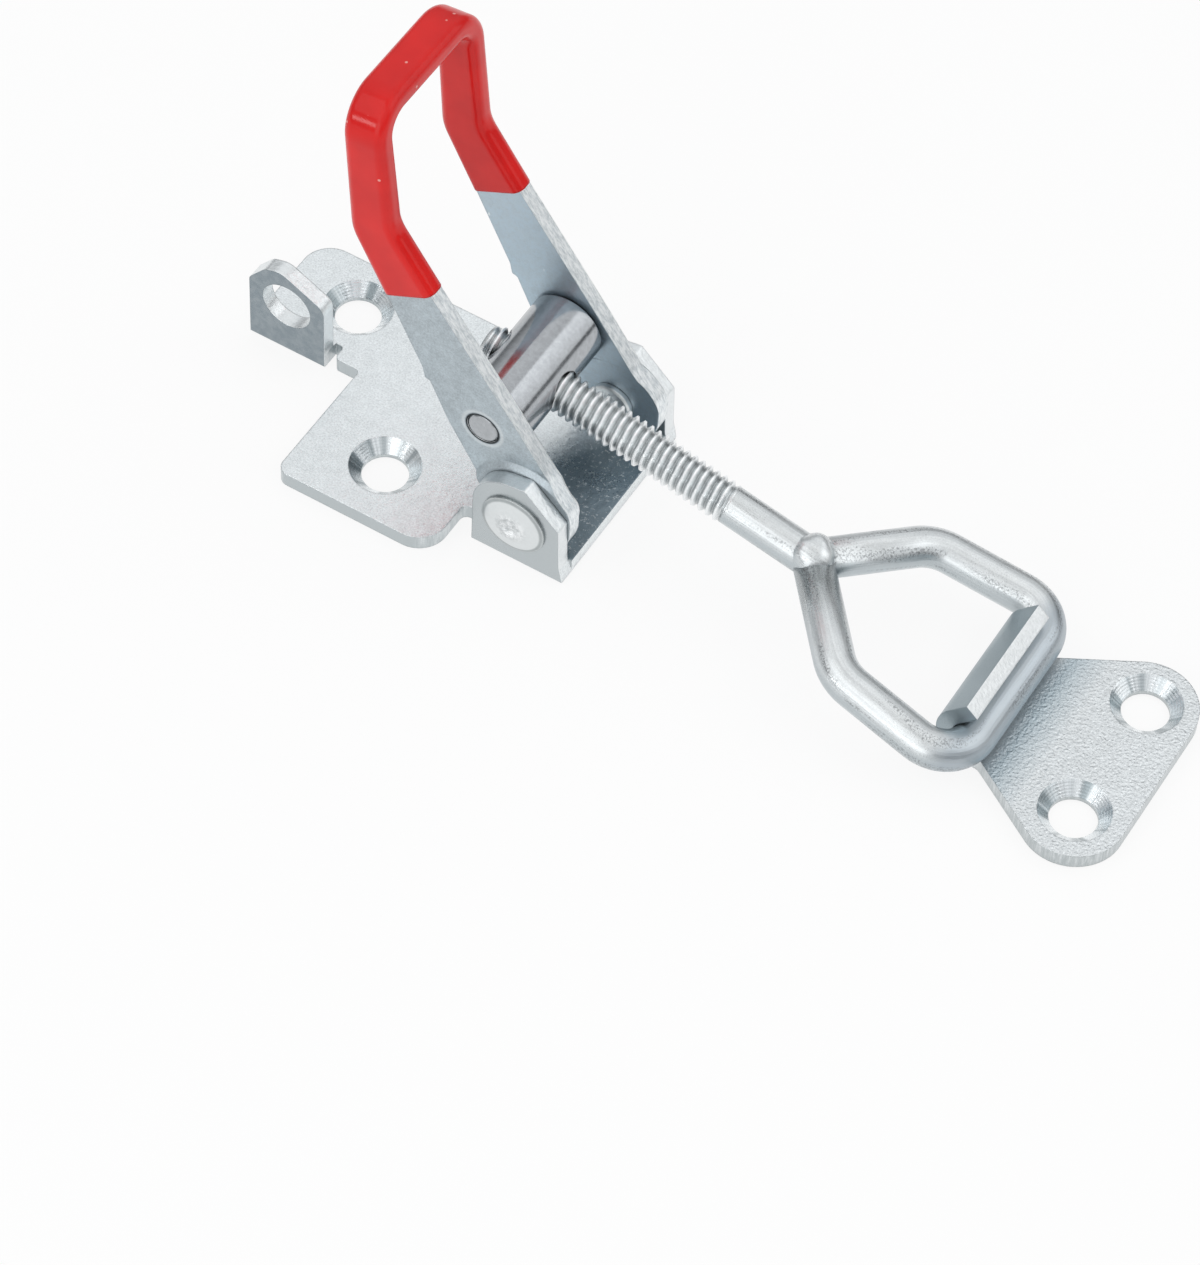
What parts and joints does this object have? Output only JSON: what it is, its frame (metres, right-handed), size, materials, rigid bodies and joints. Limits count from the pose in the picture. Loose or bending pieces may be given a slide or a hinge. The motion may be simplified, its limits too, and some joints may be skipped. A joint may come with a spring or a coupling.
{
  "type": "over centre toggle latch",
  "caption": "Over-centre toggle latch: base with padlock ear, U lever with soft grip, threaded wire loop and separate catch plate with rolled hook.",
  "frame": {"origin": "underside of the base plate, in the plane of its mounting face, below the lever's pivot axis and midway between the two pivot ears", "axes": "+X from the base towards the catch, +Z out of the mounting face, +Y to the far side"},
  "size_m": [0.1521, 0.0406, 0.0748],
  "materials": {
    "base_steel": "zinc plated, satin, finely grained",
    "lever_steel": "zinc plated, satin, with bright punched edges",
    "catch_steel": "zinc plated, satin, fine orange-peel surface",
    "rivet_steel": "zinc plated, satin, with a rough pressed centre",
    "barrel_steel": "zinc plated, turned, bright",
    "rod_steel": "zinc plated drawn wire with a rolled thread, bright",
    "grip_plastic": "soft dipped plastic, glossy red"
  },
  "bodies": {
    "base": {"base_plate": "base_steel", "pivot_rivet_near": "rivet_steel", "pivot_rivet_far": "rivet_steel"},
    "lever": {"lever": "lever_steel", "grip": "grip_plastic"},
    "barrel": {"barrel": "barrel_steel"},
    "hook_bolt": {"hook_bolt": "rod_steel"},
    "catch": {"catch_plate": "catch_steel"}
  },
  "joints": [
    {"name": "lever_pivot", "type": "hinge", "parent": "base", "child": "lever", "pos_m": [0, 0, 0.0084], "axis": [0, -1, 0], "range_deg": [-18, 58.5]},
    {"name": "barrel_turn", "type": "hinge", "parent": "lever", "child": "barrel", "pos_m": [-0.00761, 0, 0.02121], "axis": [0, -1, 0], "range_deg": [-50.09, 15.76]},
    {"name": "rod_adjust", "type": "slide", "parent": "barrel", "child": "hook_bolt", "axis": [0.9818, -0.0233, -0.1886], "range_m": [-0.012, 0.0025]},
    {"name": "catch_swing", "type": "hinge", "parent": "hook_bolt", "child": "catch", "pos_m": [0.0726, 0, 0.0058], "axis": [0, -1, 0], "range_deg": [-9.41, 3.24]}
  ],
  "couplings": [
    {"joint": "barrel_turn", "follows": "lever_pivot", "ratio": -0.8477},
    {"joint": "catch_swing", "follows": "lever_pivot", "ratio": -0.1523}
  ]
}
